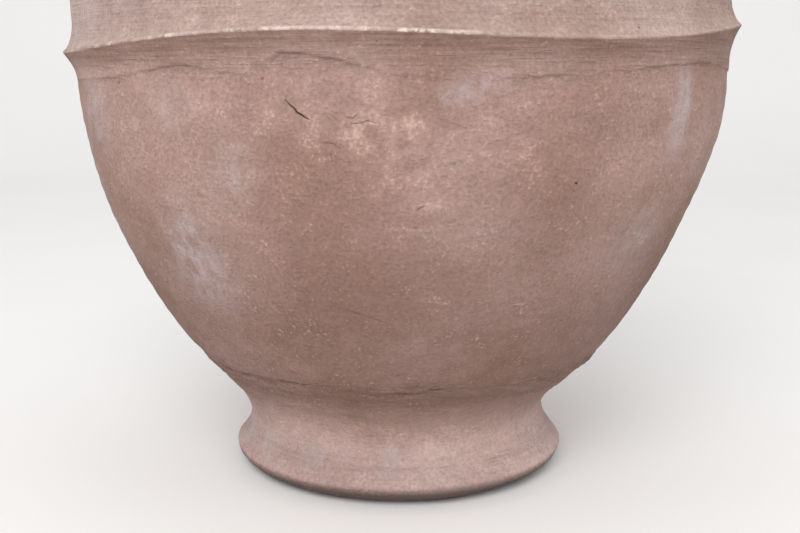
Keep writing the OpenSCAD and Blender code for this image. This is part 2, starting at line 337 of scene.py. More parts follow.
def patches(skin, places):
    """Soft spots, each an azimuth, a height, a half-width, a half-height and a strength, added up."""
    total = np.zeros(len(skin.height))
    for azimuth, height, half_w, half_h, strength in places:
        across = np.radians(turn_from(skin.azimuth, azimuth)) * np.maximum(skin.radius, 60) / half_w
        up = (skin.height - height) / half_h
        total += strength * (1 - ramp(np.hypot(across, up), 0, 1))
    return total


def knocks(skin, places):
    """Round spots, each an azimuth, a height, a half-size and a depth, added up."""
    return patches(skin, [(azimuth, height, size, size, depth) for azimuth, height, size, depth in places])


def about(skin, azimuth, full, none):
    """1 within full degrees of an azimuth and 0 beyond none."""
    return 1 - ramp(np.abs(skin.azimuth - azimuth), full, none)

# %% [markdown]
# ## The hand's unevenness
# Every thrown section shares the same faults of the hand, at three sizes: a slow out-of-roundness, soft dents
# as wide as a palm or a thumb, and low throwing rings. They are one rule of place, so that they run on
# from one piece into the next.

# %% The shared relief
HOLLOWS = (  # azimuth, height, half-width, half-height, depth
    (-76, 122, 100, 36, 3.4), (76, 74, 80, 32, 2.8),
)
RING_SPACING = 16


def out_of_round(skin):
    """The slow fault: an oval and a three-sided wave round the jar."""
    a = np.radians(skin.azimuth)
    return 0.45 * np.sin(2 * a + 0.7) + 0.3 * np.sin(3 * a - 0.4)


def pressed_about(skin):
    """Soft dents as wide as a palm, a thumb and a fingertip."""
    palm = 0.55 * lumps(skin, 75, 1.3, 1)
    thumb = 0.28 * lumps(skin, 26, 2.2, 2)
    fingertip = 0.10 * lumps(skin, 9, 1.6, 3)
    return palm + thumb + fingertip


def thrown_relief(skin, rings=0.25, dents=1.0):
    """The relief that all the thrown sections share."""
    winding = 1.5 * np.sin(np.radians(skin.azimuth) + 1)
    ring = rings * np.sin(math.tau * skin.height / RING_SPACING + winding)
    ring = ring * (0.6 + 0.4 * lumps(skin, 120, 3, 4))
    return skin.outside * (out_of_round(skin) + dents * pressed_about(skin) + ring - patches(skin, HOLLOWS))


print("hollows at the waist:", len(HOLLOWS))

# %% [markdown]
# ## The wave of the crest
# The cordon's crest was pinched up by hand while the wheel stood still, so it is not level: it rises to the
# right by a finger's width and dips in between. Four waves round the jar, added up, describe it.

# %% The wave of the crest
# Waves round the jar, and the height of each in mm
WAVE_SINES = ((1, 6.7), (2, 2.3), (3, -4.9), (4, -2.1))
WAVE_COSINES = ((0, -0.5), (1, -0.8), (2, -1.3), (3, 1.0), (4, 1.9))


def crest_wave(azimuth):
    """How far the crest lies over its mean height at an azimuth, in mm."""
    a = np.radians(azimuth)
    sines = sum(k * np.sin(n * a) for n, k in WAVE_SINES)
    return sines + sum(k * np.cos(n * a) for n, k in WAVE_COSINES)


def lean(piece):
    """Moves a piece's vertices sideways by the section's offset at their height."""
    skin = Skin(piece)
    write_back(piece, skin.co + skin.aside[:, None] * [1, 0, 0])


print("the crest's wave, mm:", [round(float(crest_wave(a)), 1) for a in range(-90, 91, 30)])

# %% [markdown]
# ## The lower bowl
# The largest section carries everything else. Its outline is one closed line: under the floor, up the outside
# to the seam with the upper section, and down the inside to a thick floor. Only the wall that stays in sight
# gets the close rows that sculpting needs, so that the piece stays light.

# %% Throw the lower bowl
BOWL_STEPS = 480      # steps in the turn; the upper section and the foot have 560
GREAT_STEPS = 560
SMALL_STEPS = 360     # the neck and the coils
smear_share = share_at_height(bowl_run, smear_z)
smear_top = cut(bowl_run, 0, smear_share)[3]
foot_inner = np.array([126.0, 66.0])
foot_outer = np.array([150.0, 74.0])
inner_wall = inside(bowl_run, WALL)
inner_belly = inside(belly_run, WALL)
seam_share = share_at_height(belly_run, CREST_Z)
seam_rim = cut(belly_run, 0, seam_share)[3]
seam_inner = cut(inner_belly, 0, seam_share)[3]

lower_bowl = throw("lower_bowl_clay", [
    ([(0, UNDERSIDE_Z), (60, UNDERSIDE_Z), foot_inner - [30, 2], foot_inner], 8),
    ([foot_inner, foot_inner + [10, 3], foot_outer - [6, 4], foot_outer], 3),
    ([foot_outer, foot_outer + [18, 13], smear_top - [24, 20], smear_top - [1.0, -1.0]], 6),
    (cut(bowl_run, smear_share + 0.008, 1), 104),
    (cut(belly_run, 0, seam_share), 6),
    *line(seam_rim, seam_inner),
    (backwards(cut(inner_belly, 0, seam_share)), 4),
    (backwards(inner_wall), 24),
    (backwards([(0, UNDERSIDE_Z + FLOOR_T), (80, UNDERSIDE_Z + FLOOR_T), inner_wall[0] - 36 * bowl_dir,
                inner_wall[0]]), 8),
], BOWL_STEPS)

# %% [markdown]
# ## The bowl's marks
# The lower bowl is where the eye rests, so its faults are placed one by one: dents and knocks first. A dent
# is a soft spot pressed in by a millimetre or two, and a knock is a small sharp one.

# %% Dent the bowl
DENTS = (  # azimuth, height, half-width, half-height, depth
    (18.5, 373, 34, 10, 1.1), (18.6, 335, 40, 9, 0.9), (-1, 131, 60, 10, 0.8),
    (-26, 300, 60, 26, 0.7), (31, 262, 70, 22, 0.7), (-6, 236, 90, 14, 0.6),
    (150, 300, 60, 26, 0.8), (-120, 350, 50, 16, 1.0), (96, 240, 80, 20, 0.8), (-160, 220, 70, 22, 0.8),
)
KNOCKS = (  # azimuth, height, half-size, depth
    (-11.7, 193, 6, 1.4), (-32.2, 263, 4.5, 2.2), (23.9, 298, 4, 1.0), (8, 247, 5, 0.7), (38, 190, 5, 0.9),
    (-20, 225, 6, 0.7), (-44, 330, 5, 0.9), (120, 330, 6, 1.4), (-95, 280, 5, 1.5), (176, 260, 6, 1.3),
)


def bowl_marks(skin):
    return thrown_relief(skin) - skin.outside * (patches(skin, DENTS) + knocks(skin, KNOCKS))


emboss(lower_bowl, bowl_marks)
print("dents and knocks:", len(DENTS) + len(KNOCKS))

# %% [markdown]
# ## Drying cracks
# A crack opens where a thick wall dried too fast. It is narrower than the bowl's faces, so the faces near it
# are first selected by their place and subdivided twice. Then a groove is sculpted along the crack's path,
# deepest in the middle, with a lip raised by the shrinking clay.

# %% Cut the cracks
CRACKS = (  # half-width, depth, and the path in azimuth and height
    (0.75, 3.4, ((-15.6, 397.0), (-14.9, 392.5), (-14.25, 389.3), (-14.0, 386.8), (-13.4, 385.2),
                 (-12.9, 383.2), (-12.2, 381.6))),
    (0.45, 1.1, ((-7.3, 384.5), (-6.9, 383.6), (-6.1, 382.6), (-5.7, 384.8), (-5.2, 386.3))),
    (0.45, 1.2, ((-6.3, 378.4), (-4.9, 379.2), (-4.3, 380.8), (-3.7, 380.5), (-3.0, 379.0))),
    (0.45, 0.9, ((-10.6, 362.4), (-9.9, 363.4), (-9.0, 362.8), (-8.2, 359.2), (-7.5, 360.6))),
    (0.5, 1.1, ((-9.4, 354.5), (-9.3, 348.0))),
    (0.5, 1.4, ((2.7, 308.6), (3.3, 311.0), (3.9, 312.4))),
    (0.5, 0.6, ((6.5, 380.4), (8.1, 377.5), (9.8, 374.6))),
    (0.5, 0.8, ((-11.6, 221.0), (-8.0, 216.5), (-4.0, 209.5), (-1.0, 205.0))),
    (0.5, 0.5, ((-22.5, 412.0), (-19.5, 405.0), (-16.4, 398.5))),
    (0.6, 1.2, ((100.0, 300.0), (103.0, 296.0), (105.0, 290.5), (108.5, 288.0))),
    (0.6, 1.2, ((-140.0, 370.0), (-137.0, 366.0), (-135.5, 360.0))),
    (1.3, 2.6, ((27.2, 328.4), (27.6, 327.4))),          # a deep pit rather than a crack
)
NEAR_CRACK = 7        # faces within this of a crack are subdivided


def distance_to(skin, path):
    """Distance along the wall from each vertex to a path of (azimuth, height), and the share along it."""
    def flat(azimuth, height):
        turn = turn_from(azimuth, path[len(path) // 2][0])
        return np.stack([np.radians(turn) * wall_radius(path[0][1]), height], -1)
    at = flat(skin.azimuth, skin.height)
    knots = flat(np.array([p[0] for p in path]), np.array([p[1] for p in path]))
    best = np.full(len(at), 1e9)
    share = np.zeros(len(at))
    for i, (a, b) in enumerate(zip(knots, knots[1:])):
        t = np.clip(((at - a) @ (b - a)) / ((b - a) @ (b - a)), 0, 1)
        d = np.linalg.norm(at - a - t[:, None] * (b - a), axis=1)
        closer = d < best
        best[closer] = d[closer]
        share[closer] = (i + t[closer]) / (len(knots) - 1)
    return best, share


def subdivide_near(piece, near, cuts):
    """Subdivides the faces whose corners are all near, which a list of true or false per vertex tells."""
    mesh = piece.data
    corners = np.empty(len(mesh.loops), dtype=np.int32)
    mesh.loops.foreach_get("vertex_index", corners)
    starts = np.empty(len(mesh.polygons), dtype=np.int32)
    mesh.polygons.foreach_get("loop_start", starts)
    chosen = np.logical_and.reduceat(near[corners], starts)
    deselect()
    bpy.context.view_layer.objects.active = piece
    piece.select_set(True)
    bpy.ops.object.mode_set(mode="EDIT")
    bpy.ops.mesh.select_mode(type="FACE")
    bpy.ops.mesh.select_all(action="DESELECT")
    bpy.ops.object.mode_set(mode="OBJECT")
    mesh.polygons.foreach_set("select", chosen)
    bpy.ops.object.mode_set(mode="EDIT")
    bpy.ops.mesh.subdivide(number_cuts=cuts, smoothness=0)
    bpy.ops.mesh.select_mode(type="VERT")
    bpy.ops.object.mode_set(mode="OBJECT")


def crack(piece, half_width, depth, path):
    """Refines a piece near a path and sinks a groove along it."""
    for reach, cuts in ((NEAR_CRACK, 2), (NEAR_CRACK * 0.45, 1)):
        skin = Skin(piece)
        near = (distance_to(skin, path)[0] < reach) & (skin.outwards > 0)
        subdivide_near(piece, near, cuts)

    def groove(skin):
        away, share = distance_to(skin, path)
        swell = np.sin(np.pi * np.clip(share, 0.04, 0.96)) ** 0.6
        cleft = depth * swell * np.exp(-(away / (half_width * (0.5 + 0.6 * swell))) ** 2)
        lip = 0.12 * depth * swell * np.exp(-((away - 2.4 * half_width) / (1.6 * half_width)) ** 2)
        return ramp(skin.outwards, 0, 0.3) * (lip - cleft)
    emboss(piece, groove)


for half_width, depth, path in CRACKS:
    crack(lower_bowl, half_width, depth, path)
print("cracks:", len(CRACKS), "faces now:", len(lower_bowl.data.polygons))

# %% [markdown]
# ## The belly cordon
# Where the two great sections meet, the potter pressed a coil over the seam and pinched it up between
# finger and thumb into a sharp crest. Below the crest the fingers wiped a hollow, and at the hollow's foot
# the soft clay ran out over the drier bowl in a ragged edge. Here the ring is thrown with rows a millimetre
# apart, its crest is bent into a wave, and everything below the ragged edge is sunk behind the wall.

# %% Throw the cordon
crest = np.array([crest_r - 0.6, CREST_Z])
cordon_top = np.array([float(wall_radius(cordon_top_z)), cordon_top_z])
cordon = throw("belly_cordon_clay", [
    ([bowl_top, bowl_top + 24 * steep, crest - [7.0, 11], crest - [0.7, 1.2]], 58),
    ([crest - [0.7, 1.2], crest - [0.1, 0.5], crest + [-0.1, 0.5], crest + [-0.9, 1.2]], 4),
    ([crest + [-0.9, 1.2], crest + [-6, 6], cordon_top - [-1, 12], cordon_top], 28),
    *line(cordon_top, cordon_top - [9, 6], bowl_top + [-9, 12], bowl_top),
], 720)

# %% [markdown]
# ## Bending the ring
# On the real cordon the crest wanders and the lower edge is torn, and no modifier makes that. Each vertex is
# therefore placed by rule: it is lifted by the wave, pushed out where the clay stands proud of the bowl, and
# sunk behind the bowl below the ragged edge. A table lists the edge's height round the jar, as it would be
# read off with a ruler, and noise adds the crumbs.

# %% Bend the crest and run out the lower edge
SMEAR_EDGE = (  # azimuth and height of the clay's ragged lower edge, round the jar
    (-180, 414), (-150, 420), (-118, 411), (-90, 416), (-72, 409), (-57, 412), (-48, 413), (-40.5, 418),
    (-34.9, 422), (-31.9, 424), (-27.6, 420), (-22.8, 416), (-19, 419), (-15.6, 434), (-12.9, 432),
    (-9, 429), (-6.4, 425), (-2.4, 419), (0.2, 415), (3, 414), (5.5, 419), (8.1, 420), (11, 418),
    (14.4, 413), (16.6, 413), (22.5, 416), (26.6, 414), (29.1, 418), (34.6, 419), (38.6, 422),
    (44.6, 424), (52, 427), (66, 421), (85, 417), (110, 423), (140, 412), (180, 414),
)
EDGE_STEP = (  # azimuth, half-width in degrees and the height of the step that the edge stands proud
    (-34, 9, 0.8), (-24, 4, 0.5), (-7.5, 6, 0.6), (3, 4, 0.6), (20.5, 7, 1.5), (38, 7, 0.8), (50, 6, 0.5),
    (-50, 8, 0.4), (80, 20, 1.0), (120, 24, 1.2), (160, 20, 0.7), (-100, 24, 1.1), (-150, 26, 1.0),
)
TORN = (  # azimuth, half-width in degrees and strength of the crumbled stretches
    (20.5, 7.5, 1.0), (-32, 9, 0.5), (-8, 6, 0.5), (3, 5, 0.5), (38, 8, 0.35), (-50, 8, 0.4), (110, 20, 0.9),
    (-120, 25, 0.7),
)
SUNK = 1.6            # how far the clay below the edge is sunk behind the bowl


def smear_edge(skin):
    """The height of the ragged lower edge at each vertex's azimuth."""
    return read_off(skin.azimuth, SMEAR_EDGE) + 1.6 * lumps(skin, 11, 0.2, 31) + 0.9 * lumps(skin, 4, 0.2, 32)


def edge_step(skin):
    """How far the ragged edge stands proud of the bowl."""
    proud = sum(step * about(skin, azimuth, 0.35 * wide, wide) for azimuth, wide, step in EDGE_STEP)
    return 0.12 + proud * (0.7 + 0.9 * lumps(skin, 14, 0.5, 33))


def torn(skin, edge):
    """How crumbled the clay is near the ragged edge."""
    where = sum(strength * about(skin, azimuth, 0.3 * wide, wide) for azimuth, wide, strength in TORN)
    return where * np.exp(-((skin.height - edge - 1) / 4.5) ** 2)


def lift(height):
    """How much of the crest's wave reaches a height: none at the cordon's foot, all from the crest up."""
    return ramp(height, bowl_top_z, CREST_Z) ** 0.8


def shape_cordon(piece):
    """Bends the crest into its wave and sinks what lies below the ragged edge."""
    skin = Skin(piece)
    rise = crest_wave(skin.azimuth) * lift(skin.height)
    rise = rise + 0.5 * lumps(skin, 22, 0.2, 34) * lift(skin.height)
    at_crest = np.exp(-((skin.height - CREST_Z) / 2.5) ** 2)
    ragged = (0.55 * lumps(skin, 9, 1, 40) + 0.45 * lumps(skin, 4, 1, 41)) * at_crest
    rise = rise + ragged
    proud = skin.radius - wall_radius(skin.height)
    height = skin.height + rise
    front = skin.outwards > -0.2
    edge = smear_edge(skin)
    over = ramp(height, edge - 0.6, edge + 0.7)
    step = edge_step(skin) * (1 - ramp(height, edge + 2, edge + 16))
    crumbs = torn(skin, edge) * (1.6 * lumps(skin, 7, 1.6, 38) + 0.9 * lumps(skin, 3.5, 1.2, 39))
    skin_proud = np.maximum(proud, 0) + step + crumbs
    proud = np.where(front & (height < CREST_Z - 6), skin_proud * over - SUNK * (1 - over), proud)
    radius = wall_radius(height) + proud + ragged
    co = skin.co * (radius / skin.radius)[:, None]
    co[:, 2] = height
    write_back(piece, co)


shape_cordon(cordon)


def cordon_relief(skin):
    wiped = 0.20 * lumps(skin, 34, 14, 36) + 0.14 * lumps(skin, 20, 9, 37)
    return thrown_relief(skin, 0.0, 0.6) * 0.6 + skin.outside * wiped


emboss(cordon, cordon_relief)
print("cordon from", round(cordon.bound_box[0][2] / MM), "to", round(cordon.bound_box[1][2] / MM), "mm high")

# %% [markdown]
# ## The foot and its joint
# The foot was thrown as a separate ring, turned over and luted on. A coil was worked into the angle and
# dragged up over the bowl with the fingertips, which leaves diagonal strokes and a torn upper edge.

# %% Throw the foot
foot = throw("pedestal_foot_clay", [
    (toe_run, 26),
    (flare_run, 26),
    *line((WAIST_R, waist_z), foot_outer, foot_inner),
    ([foot_inner, foot_inner - [0, 26], (CONTACT_INNER_R, 30), (CONTACT_INNER_R, 0)], 14),
    *line((CONTACT_INNER_R, 0), (CONTACT_R, 0)),
], GREAT_STEPS)
NICKS = (  # azimuth, height, half-size, depth
    (14.3, 21, 4, 1.2), (-26, 14, 7, 1.0), (38, 17, 9, 1.2), (-70, 20, 6, 1.5), (120, 18, 8, 1.5),
    (-150, 16, 7, 1.4),
)
TURNING_SPACING = 3.6     # between the fine rings that the turning tool left


def foot_relief(skin):
    free = ramp(skin.height, 0.5, 8) * skin.outside * (1 - ramp(skin.height, 48, waist_z - 1))
    winding = 0.8 * np.sin(np.radians(skin.azimuth))
    turned = 0.18 * np.sin(math.tau * skin.height / TURNING_SPACING + winding) * ramp(skin.height, 26, 34)
    toe = (0.5 * lumps(skin, 30, 0.8, 41) + 0.25 * lumps(skin, 8, 1, 42)) * (1 - ramp(skin.height, 30, 46))
    return thrown_relief(skin, 0) * ramp(skin.height, 0.5, 12) + free * (turned + toe - knocks(skin, NICKS))


emboss(foot, foot_relief)


def wear_toe(piece):
    """Wears the toe's lower edge back at the front right, where the jar was tipped and rolled."""
    skin = Skin(piece)
    at_right = ramp(skin.azimuth, 12, 40) * (1 - ramp(skin.azimuth, 80, 110))
    worn = 4.5 * at_right * (1 - ramp(skin.height, 2, 15))
    worn = worn * ramp(skin.radius, CONTACT_R - 12, CONTACT_R - 2)
    write_back(piece, skin.co * (1 - (worn / np.maximum(skin.radius, NEAR_AXIS))[:, None] * [1, 1, 0]))


wear_toe(foot)

# %% [markdown]
# ## The joint coil
# The coil that joins foot and bowl was smeared up until it died away on the bowl. It is thrown as a skin that
# follows the bowl past the smear's end, and what lies above the torn edge is sunk out of sight behind the
# bowl. The same relief rule as on the foot moves it, so that the two meet without a step.

# %% Throw the joint coil and tear its upper edge
SMEAR_TOP = (  # azimuth and height of the smear's torn upper edge, round the jar
    (-180, 130), (-140, 136), (-100, 127), (-60, 133), (-35.6, 126), (-24, 131), (-16.4, 138), (-9, 137),
    (-4.8, 139), (-1, 133), (3, 135), (8.6, 131), (15, 133), (22.7, 135), (30, 134), (37.5, 138), (51.4, 139),
    (66, 132), (90, 137), (130, 128), (180, 130),
)
SMEAR_SKIN_TOP = 148      # the thrown skin runs up to here, past the torn edge everywhere
smear_run = cut(bowl_run, 0, share_at_height(bowl_run, SMEAR_SKIN_TOP))
joint = throw("foot_joint_coil_clay", [
    (joint_run, 30),
    (smear_run, 44),
    *line(smear_run[3], (190, 126), (150, 84), (150, 66), (WAIST_R, waist_z)),
], GREAT_STEPS)
GROOVE_Z = 116            # where the fingers pressed the coil in hardest


def joint_crumbs(skin):
    """Where the joint's smear is crumbled: most along its upper edge at the front, less on the coil below."""
    worst = 0.55 + 0.45 * about(skin, 2, 6, 16)
    return worst * np.exp(-((skin.height - 130) / 9) ** 2) + 0.35 * np.exp(-((skin.height - 98) / 20) ** 2)


def shape_joint(piece):
    """Presses the coil in, drags it up in strokes and sinks what lies above the torn edge."""
    skin = Skin(piece)
    edge = read_off(skin.azimuth, SMEAR_TOP)
    edge = edge + 2.2 * lumps(skin, 16, 0.3, 51) + 1.2 * lumps(skin, 5, 0.3, 52)
    over = 1 - ramp(skin.height, edge - 0.8, edge + 0.8)
    step = (0.2 + 1.1 * np.abs(lumps(skin, 24, 0.6, 53))) * ramp(skin.height, edge - 22, edge - 2)
    strokes = 0.5 * lumps(skin, 22, 2.4, 54) + 0.3 * lumps(skin, 8, 2, 55) - 0.3
    low = ramp(skin.height, waist_z + 2, waist_z + 14)
    from_groove = skin.height - (GROOVE_Z + 3 * lumps(skin, 70, 0.3, 56))
    pressed = 1.4 + 0.8 * lumps(skin, 40, 0.3, 57)
    groove = pressed * (np.exp(-(from_groove / 3.2) ** 2) - 0.8 * np.exp(-((from_groove - 9) / 6) ** 2))
    crumbs = joint_crumbs(skin) * (1.5 * lumps(skin, 9, 1.8, 58) + 1.0 * lumps(skin, 4.5, 1.4, 59))
    shaped = (step + strokes * low + crumbs - groove) * over - 2.2 * (1 - over)
    move = thrown_relief(skin, 0) + ramp(skin.outwards, 0.02, 0.3) * shaped
    write_back(piece, skin.co + skin.normal * move[:, None])


shape_joint(joint)
print("joint coil:", len(joint.data.polygons), "faces")

# %% [markdown]
# ## The inside coil
# The same seam was pressed over from inside, with a fingertip every two centimetres. It is only seen down
# the mouth or by a hand inside, so it gets fewer faces.

# %% Throw the inner coil and press it
COIL_HALF_H = 26
PRESSES = 96          # fingertips round the ring
inner_ring = cut(inner_belly, share_at_height(inner_belly, CREST_Z - COIL_HALF_H),
                 share_at_height(inner_belly, CREST_Z + COIL_HALF_H))
ring_low, ring_high = inner_ring[0], inner_ring[3]
inner_coil = throw("inner_seam_coil_clay", [
    ([p + [2.5, 0] for p in inner_ring], 6),
    *line(ring_high + [2.5, 0], ring_high),
    ([ring_high, ring_high - [9.3, 8], ring_low + [-9.3, 8], ring_low], 26),
    *line(ring_low, ring_low + [2.5, 0]),
], SMALL_STEPS)


def finger_presses(skin):
    uneven = 2 * lumps(skin, 60, 1, 61)
    fingers = 0.5 + 0.5 * np.cos(np.radians(skin.azimuth) * PRESSES + uneven)
    return -ramp(-skin.outwards, 0, 0.4) * (1.3 * fingers + 0.6 * lumps(skin, 14, 1, 62))


emboss(inner_coil, finger_presses)

# %% [markdown]
# ## The upper section
# The barrel and shoulder were thrown from the cordon up. The hand left rings on the shoulder, deeper and a
# little closer than those below, and wiped the barrel smooth just above the crest.

# %% Throw the upper body
shoulder_inside = inside(shoulder_run, WALL)
neck_foot_inner = np.array([mouth_r + 8, shoulder_z - 4])
shoulder_inside = cut(shoulder_inside, 0, 0.9)
upper = throw("upper_body_clay", [
    (cut(belly_run, seam_share, 1), 16),
    (shoulder_run, 96),
    *line(shoulder_top, neck_foot_inner, shoulder_inside[3]),
    (backwards(shoulder_inside), 26),
    (backwards(cut(inner_belly, seam_share, 1)), 4),
    *line(seam_inner, seam_rim),
], GREAT_STEPS)


SHOULDER_RING_SPACING = 13


def shoulder_relief(skin):
    winding = 1.2 * np.sin(np.radians(skin.azimuth) + 2)
    rings = 0.45 * np.sin(math.tau * skin.height / SHOULDER_RING_SPACING + winding)
    rings = rings * (0.6 + 0.5 * lumps(skin, 150, 3, 64))
    on_shoulder = ramp(skin.height, 540, 620) * (1 - ramp(skin.height, 735, 746))
    outside = ramp(skin.outwards, -0.4, 0.1)
    return outside * (out_of_round(skin) + pressed_about(skin) + rings * on_shoulder)


emboss(upper, shoulder_relief)

# %% [markdown]
# ## The neck and the lip
# The neck was thrown last, on a short coil that hides its joint with the shoulder, and the lip was folded
# over and rounded with a wet cloth. All three are thrown as before. The lip's outer edge gets a few chips,
# because a rim is what strikes first when a jar is moved.

# %% Throw the neck, its coil and the lip
neck = throw("neck_clay", [
    (neck_run, 44),
    *line(neck_top, (mouth_r, neck_top_z), (mouth_r, shoulder_z + 6), neck_foot_inner, shoulder_top),
], SMALL_STEPS)
emboss(neck, lambda skin: 0.6 * thrown_relief(skin, 0.4, 0.8) * ramp(skin.radius, mouth_r + 3, mouth_r + 8))

coil_high = cut(neck_run, 0, share_at_height(neck_run, shoulder_z + 18))[3]
coil_low = cut(shoulder_run, 0, share_at_height(shoulder_run, shoulder_z - 7.5))[3]
neck_coil = throw("neck_cordon_clay", [
    ([coil_low, coil_low + [2, 13], coil_high + [15, 3], coil_high], 24),
    *line(coil_high, shoulder_top - [6, 0], coil_low),
], SMALL_STEPS)
emboss(neck_coil, lambda skin: ramp(skin.outwards, -0.3, 0.2) * (
    0.9 * lumps(skin, 34, 0.6, 71) + 0.35 * lumps(skin, 11, 0.8, 72)))

lip_widest = np.array([lip_r, neck_top_z + 13])
lip_brow = np.array([lip_r - 24, top_z])
lip_under = cut(neck_run, 0, share_at_height(neck_run, neck_top_z - 15))[3]
lip = throw("lip_clay", [
    ([lip_under, lip_under + [15, 3], lip_widest - [0, 18], lip_widest], 26),
    ([lip_widest, lip_widest + [0, 15], lip_brow + [11, 0], lip_brow], 22),
    ([lip_brow, lip_brow - [16, 0], (mouth_r + 3, neck_top_z + 22), (mouth_r, neck_top_z)], 20),
    *line((mouth_r, neck_top_z), (NECK_R + 4, neck_top_z - 10), lip_under),
], 400)
LIP_CHIPS = (  # azimuth, half-width, depth
    (28, 9, 2.2), (-64, 12, 2.8), (141, 8, 2.0), (-128, 7, 1.8), (86, 6, 1.6),
)


def lip_relief(skin):
    outer = ramp(skin.radius, mouth_r + 2, mouth_r + 10)
    chips = patches(skin, [(azimuth, top_z - 8, wide, wide * 0.8, deep) for azimuth, wide, deep in LIP_CHIPS])
    uneven = 0.8 * lumps(skin, 60, 1, 73) + 0.3 * lumps(skin, 16, 1, 74) + 0.12 * lumps(skin, 6, 1, 75)
    return outer * (uneven - chips * ramp(skin.radius, lip_r - 30, lip_r - 8))


emboss(lip, lip_relief)
print("chips in the lip:", len(LIP_CHIPS))

# %% [markdown]
# ## The strap handles
# Each handle was pulled from a lump of clay between wet fingers, which leaves a flat strap with ridges along
# it. Its ends were pressed onto the neck and shoulder and smeared round. In Blender a closed ribbed outline
# is run along a Bezier centreline as a curve's bevel, made a mesh, and then sculpted: the strap widens
# towards its roots and flares out where it meets the vessel.

# %% Pull the straps
STRAP_W = 60
STRAP_T = 24
STRAP_PATH = (  # knot, handle before and handle after, in radius and height
    ((92, 808), (80, 801), (137, 833)),
    ((238, 812), (200, 850), (268, 782)),
    ((256, 632), (281, 722), (253, 617)),
)
STRAP_SIDES = 96
STRAP_ROWS = 90       # along each of the path's two runs
THUMB_Z = 690         # where a thumb pressed each strap down


def strap_outline(k):
    """A point of the strap's section: a flat oval with two grooves and three ribs on its back."""
    a = math.tau * k / STRAP_SIDES
    x = STRAP_W / 2 * math.copysign(abs(math.cos(a)) ** 0.8, math.cos(a))
    y = STRAP_T / 2 * math.sin(a)
    if y > 0:
        y -= 2.2 * math.exp(-((abs(x) - 10.5) / 4.5) ** 2) * math.sin(a) ** 2
    else:
        y += 1.2 * math.exp(-(x / 12) ** 2)
    return x * MM, y * MM


def pull_strap(name, side):
    """Runs the ribbed outline along the strap's path, to the left (-1) or the right (1) of the neck."""
    deselect()
    bpy.ops.curve.primitive_bezier_circle_add()
    outline = bpy.context.object
    outline.data.splines.clear()
    spline = outline.data.splines.new("POLY")
    spline.points.add(STRAP_SIDES - 1)
    for k, point in enumerate(spline.points):
        point.co = (*strap_outline(k), 0, 1)
    spline.use_cyclic_u = True
    deselect()
    bpy.ops.curve.primitive_bezier_curve_add()
    strap = bpy.context.object
    strap.name = strap.data.name = name
    strap.data.splines.clear()
    path = strap.data.splines.new("BEZIER")
    path.bezier_points.add(len(STRAP_PATH) - 1)
    path.resolution_u = STRAP_ROWS
    for point, knot in zip(path.bezier_points, STRAP_PATH):
        point.handle_left_type = point.handle_right_type = "FREE"
        place, before, after = [Vector((side * r, 0, h)) * MM for r, h in knot]
        point.co, point.handle_left, point.handle_right = place, before, after
    strap.data.twist_mode = "MINIMUM"      # Z_UP would turn the ribs inwards where the strap leans back
    strap.data.bevel_mode = "OBJECT"
    strap.data.bevel_object = outline
    strap.data.use_fill_caps = True
    bpy.ops.object.convert(target="MESH")
    strap = bpy.context.object
    bpy.data.objects.remove(outline)
    bpy.ops.object.mode_set(mode="EDIT")
    bpy.ops.mesh.select_all(action="SELECT")
    bpy.ops.mesh.remove_doubles(threshold=MERGE)
    bpy.ops.mesh.normals_make_consistent(inside=False)
    bpy.ops.object.mode_set(mode="OBJECT")
    bpy.ops.object.shade_smooth()
    return strap


def off_vessel(skin):
    """Distance from the neck's or shoulder's surface, in mm, negative inside it."""
    line_r, line_z = wall_line[::4, 0], wall_line[::4, 1]
    gap = np.empty(len(skin.radius))
    batch = 4000      # vertices measured at once, to save memory
    for start in range(0, len(gap), batch):
        part = slice(start, start + batch)
        d = np.hypot(skin.radius[part, None] - line_r, skin.height[part, None] - line_z)
        gap[part] = d.min(1)
    within = (skin.radius < wall_radius(skin.height)) & (skin.height < neck_top_z)
    return np.where(within, -gap, gap)


def shape_strap(piece, side):
    """Widens a strap to its roots, smears it onto the vessel and gives it the hand's unevenness."""
    skin = Skin(piece)
    gap = off_vessel(skin)
    root = 1 - ramp(gap, -2, 60)
    co = skin.co.copy()
    co[:, 1] *= 1 + 0.30 * root
    smear = 13 * np.clip(1 - gap / 24, 0, 1) ** 2.6
    co += skin.normal * smear[:, None]
    write_back(piece, co)

    def hand(skin):
        gap = off_vessel(skin)
        pulled = 0.7 * lumps(skin, 55, 0.6, 81 + side) + 0.25 * lumps(skin, 14, 0.7, 83)
        pulled = pulled + 0.10 * lumps(skin, 5, 1, 84)
        thumb = np.exp(-(skin.co[:, 1] / 13) ** 2) * np.exp(-((skin.height - THUMB_Z) / 15) ** 2)
        smeared = 0.8 * lumps(skin, 12, 1, 85) * (1 - ramp(gap, 4, 26))
        return pulled + smeared - 4.5 * thumb * ramp(skin.outwards, 0.2, 0.7)
    emboss(piece, hand)


handles = {}
for name, side in (("handle_left", -1), ("handle_right", 1)):
    handles[name] = pull_strap(name + "_clay", side)
    shape_strap(handles[name], side)
    print(name, "pulled:", len(handles[name].data.polygons), "faces")
